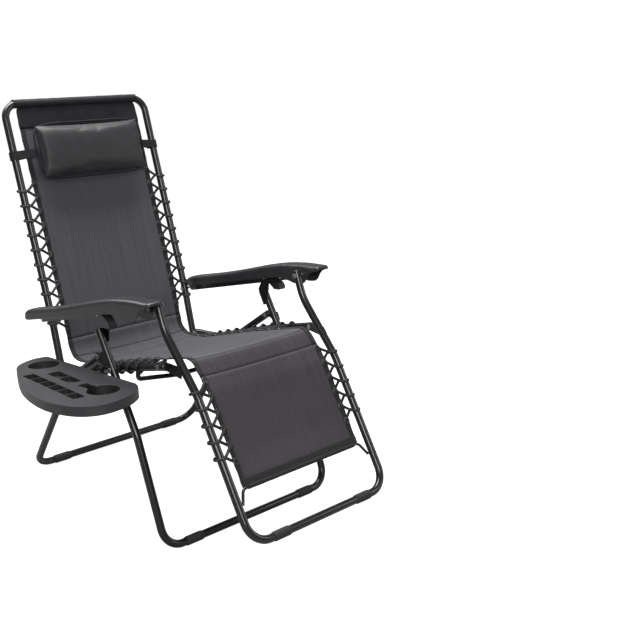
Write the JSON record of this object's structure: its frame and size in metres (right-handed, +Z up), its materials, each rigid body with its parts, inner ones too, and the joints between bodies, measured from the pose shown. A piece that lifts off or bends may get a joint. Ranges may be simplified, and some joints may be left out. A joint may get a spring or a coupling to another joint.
{
  "type": "zero gravity recliner",
  "caption": "Folding outdoor lounge chair: bent tube frame, laced mesh sling that reclines with its footrest, padded head pillow, armrests and a clip-on side tray.",
  "frame": {"origin": "bottom centre of the bounding box, tray included: on the floor, 118 mm to the sitter's right of the chair's mid plane and 284 mm behind the front foot bar", "axes": "+X to the sitter's left, -Y forward, +Z up"},
  "size_m": [0.8904, 1.171, 1.116],
  "materials": {
    "frame": "gloss",
    "steel": "satin",
    "plastic": "fine texture",
    "rubber": "matt",
    "mesh_fabric": "woven mesh",
    "cord": "braided",
    "pillow_fabric": "smooth woven"
  },
  "bodies": {
    "front_legs": {"front_leg_frame": "frame", "tray_wing": "frame", "front_foot_sleeve_left": "rubber", "leg_hinge_plate_left": "frame", "leg_hinge_rivet_left": "steel", "arm_support_plate_left": "frame", "lock_bolt_left": "steel", "front_foot_sleeve_right": "rubber", "leg_hinge_plate_right": "frame", "leg_hinge_rivet_right": "steel", "arm_support_plate_right": "frame", "lock_bolt_right": "steel"},
    "rear_legs": {"rear_leg_frame": "frame", "rear_foot_sleeve_left": "rubber", "rear_foot_sleeve_right": "rubber"},
    "seat_pins": {"seat_pivot_pin_left": "steel", "seat_pivot_pin_right": "steel"},
    "seat": {"seat_crossbar": "frame", "seat_fabric": "mesh_fabric", "seat_rail_left": "frame", "seat_lacing_left": "cord", "seat_rail_right": "frame", "seat_lacing_right": "cord"},
    "back_pins": {"back_hinge_pin_left": "steel", "back_hinge_pin_right": "steel"},
    "back": {"back_frame": "frame", "back_fabric": "mesh_fabric", "back_lacing_left": "cord", "back_lacing_right": "cord"},
    "legrest_pins": {"legrest_hinge_pin_left": "steel", "legrest_hinge_pin_right": "steel"},
    "legrest": {"legrest_frame": "frame", "legrest_crossbar": "frame", "legrest_fabric": "mesh_fabric", "legrest_plate_left": "frame", "legrest_sleeve_left": "rubber", "legrest_lacing_left": "cord", "legrest_plate_right": "frame", "legrest_sleeve_right": "rubber", "legrest_lacing_right": "cord"},
    "armrest_pins": {"armrest_rear_pin_left": "steel", "armrest_rear_pin_right": "steel"},
    "armrests": {"armrest_left": "plastic", "armrest_bar_left": "frame", "armrest_front_pin_left": "steel", "armrest_right": "plastic", "armrest_bar_right": "frame", "armrest_front_pin_right": "steel"},
    "pillow": {"pillow": "pillow_fabric", "pillow_strap_left": "pillow_fabric", "pillow_strap_right": "pillow_fabric"},
    "lever_left": {"lock_lever_left": "plastic"},
    "lever_right": {"lock_lever_right": "plastic"},
    "tray": {"side_tray": "plastic"}
  },
  "joints": [
    {"name": "recline", "type": "hinge", "parent": "front_legs", "child": "seat_pins", "pos_m": [0.11817, -0.05249, 0.46209], "axis": [-1, 0, 0], "range_deg": [0, 20]},
    {"name": "fold", "type": "hinge", "parent": "seat_pins", "child": "seat", "pos_m": [0.11817, -0.05249, 0.46209], "axis": [-1, 0, 0], "range_deg": [0, 60]},
    {"name": "back_fold", "type": "hinge", "parent": "seat", "child": "back_pins", "pos_m": [0.11817, 0.30569, 0.3545], "axis": [-1, 0, 0], "range_deg": [-60, 0]},
    {"name": "back_recline", "type": "hinge", "parent": "back_pins", "child": "back", "pos_m": [0.11817, 0.30569, 0.3545], "axis": [-1, 0, 0], "range_deg": [0, 20]},
    {"name": "legrest_fold", "type": "hinge", "parent": "seat", "child": "legrest_pins", "pos_m": [0.11817, -0.23031, 0.5155], "axis": [-1, 0, 0], "range_deg": [-60, 0]},
    {"name": "legrest_recline", "type": "hinge", "parent": "legrest_pins", "child": "legrest", "pos_m": [0.11817, -0.23031, 0.5155], "axis": [-1, 0, 0], "range_deg": [0, 20]},
    {"name": "armrest_fold", "type": "hinge", "parent": "back", "child": "armrest_pins", "pos_m": [0.11817, 0.35029, 0.50295], "axis": [-1, 0, 0], "range_deg": [0, 60]},
    {"name": "armrest_recline", "type": "hinge", "parent": "armrest_pins", "child": "armrests", "pos_m": [0.11817, 0.35029, 0.50295], "axis": [-1, 0, 0], "range_deg": [-20, 0]},
    {"name": "rear_leg_fold", "type": "hinge", "parent": "front_legs", "child": "rear_legs", "pos_m": [0.11817, 0.00069, 0.4885], "axis": [-1, 0, 0], "range_deg": [0, 54]},
    {"name": "pillow_slide", "type": "slide", "parent": "back", "child": "pillow", "axis": [0, 0.3434, 0.9392], "range_m": [-0.035, 0.03]},
    {"name": "lever_left_turn", "type": "hinge", "parent": "front_legs", "child": "lever_left", "pos_m": [0.11817, -0.00791, 0.61054], "axis": [-1, 0, 0], "range_deg": [-40, 0]},
    {"name": "lever_right_turn", "type": "hinge", "parent": "front_legs", "child": "lever_right", "pos_m": [0.11817, -0.00791, 0.61054], "axis": [-1, 0, 0], "range_deg": [-40, 0]},
    {"name": "tray_lift", "type": "slide", "parent": "front_legs", "child": "tray", "axis": [0, 0, 1], "range_m": [0, 0.06]}
  ],
  "couplings": [
    {"joint": "back_fold", "follows": "fold", "ratio": -1},
    {"joint": "back_recline", "follows": "recline", "ratio": 1},
    {"joint": "legrest_fold", "follows": "fold", "ratio": -1},
    {"joint": "legrest_recline", "follows": "recline", "ratio": 1},
    {"joint": "armrest_fold", "follows": "fold", "ratio": 1},
    {"joint": "armrest_recline", "follows": "recline", "ratio": -1},
    {"joint": "rear_leg_fold", "follows": "fold", "ratio": 0.9}
  ]
}
